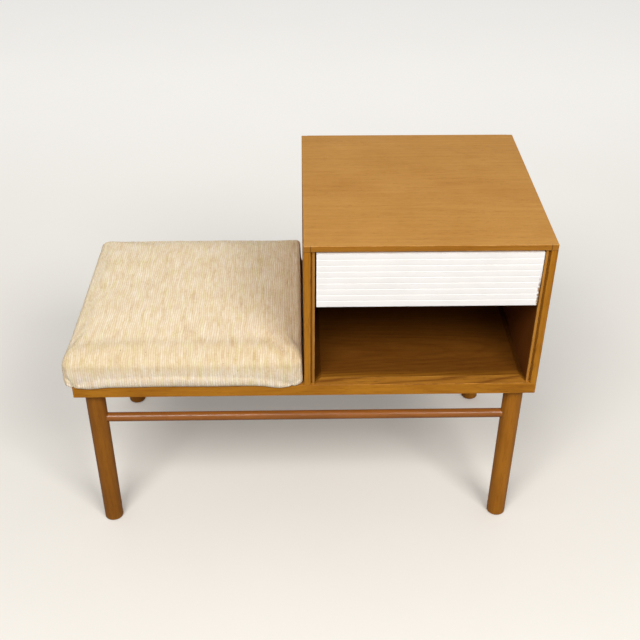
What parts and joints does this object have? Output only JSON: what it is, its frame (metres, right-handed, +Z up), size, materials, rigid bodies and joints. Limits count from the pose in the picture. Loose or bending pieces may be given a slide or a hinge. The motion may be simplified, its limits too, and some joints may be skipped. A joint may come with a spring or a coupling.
{
  "type": "telephone bench",
  "caption": "Telephone bench: an upholstered seat beside a small case with a reeded drawer over an open compartment, on round legs joined by stretchers.",
  "frame": {"origin": "on the floor, under the middle of the overall footprint, the cushion's swell included", "axes": "+X from the seat end to the case end, +Y from the front to the back, +Z up"},
  "size_m": [0.93, 0.475, 0.705],
  "materials": {
    "veneered_board": "satin lacquer, warm straight grain",
    "solid_edging": "satin lacquer",
    "turned_wood": "satin lacquer, worn at the feet",
    "plain_hardwood": "bare, planed",
    "plywood": "thin lacquer",
    "white_paint": "white paint, satin, lightly chipped",
    "seat_fabric": "nubby woven cream cloth",
    "steel": "plain"
  },
  "bodies": {
    "bench": {"back_brads": "steel", "case_back": "plywood", "case_side_left": "veneered_board", "case_side_right": "veneered_board", "case_top_front_lipping": "solid_edging", "case_top_lipping_left": "solid_edging", "case_top_lipping_right": "solid_edging", "case_top_panel": "veneered_board", "compartment_floor": "veneered_board", "drawer_runner_left": "plain_hardwood", "drawer_runner_right": "plain_hardwood", "front_stretcher": "turned_wood", "leg_front_left": "turned_wood", "leg_front_right": "turned_wood", "leg_rear_left": "turned_wood", "leg_rear_right": "turned_wood", "lower_case_tongues": "plain_hardwood", "platform_end_lipping_left": "solid_edging", "platform_end_lipping_right": "solid_edging", "platform_front_lipping": "solid_edging", "platform_panel": "veneered_board", "rear_stretcher": "turned_wood", "runner_brads": "steel", "seat_board": "plywood", "seat_cushion": "seat_fabric", "seat_screws": "steel", "side_liner_left": "veneered_board", "side_liner_right": "veneered_board", "upper_case_tongues": "plain_hardwood"},
    "drawer": {"drawer_front": "white_paint", "drawer_side_left": "plain_hardwood", "drawer_side_right": "plain_hardwood", "drawer_back": "plain_hardwood", "drawer_bottom": "plywood", "drawer_brads": "steel"}
  },
  "joints": [
    {"name": "drawer_slide", "type": "slide", "parent": "bench", "child": "drawer", "axis": [0, -1, 0], "range_m": [0, 0.3]}
  ]
}
